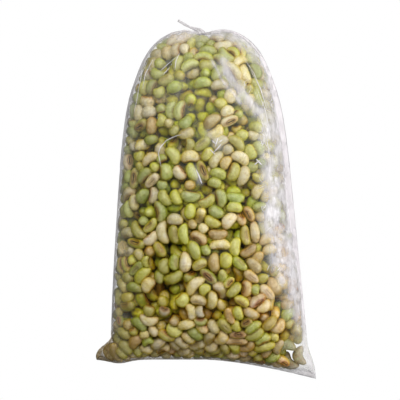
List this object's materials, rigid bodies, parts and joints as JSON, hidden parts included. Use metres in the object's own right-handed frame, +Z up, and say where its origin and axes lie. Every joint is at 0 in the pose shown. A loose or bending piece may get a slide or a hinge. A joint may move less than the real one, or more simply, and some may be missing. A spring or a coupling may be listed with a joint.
{
  "type": "bag of shelled green cowpeas",
  "caption": "Clear plastic film bag packed full of fresh shelled cowpeas, lying on its back, with a sealed bottom edge between two flat corners and a gathered neck.",
  "frame": {"origin": "on the table, under the middle of the bag's bounding box", "axes": "+X across the bag to the right of its seen face, +Y from the bottom seal to the gathered neck, +Z up through the seen face"},
  "size_m": [0.1274, 0.2074, 0.0469],
  "materials": {
    "clear_film": "glossy clear",
    "beans": "satin",
    "corner_beans": "satin"
  },
  "bodies": {
    "root": {"bag_film": "clear_film", "bean_heap": "beans", "corner_bean_right_upper": "corner_beans", "corner_bean_right_lower": "corner_beans", "corner_bean_right_outer": "corner_beans", "corner_bean_left": "corner_beans"}
  },
  "joints": []
}
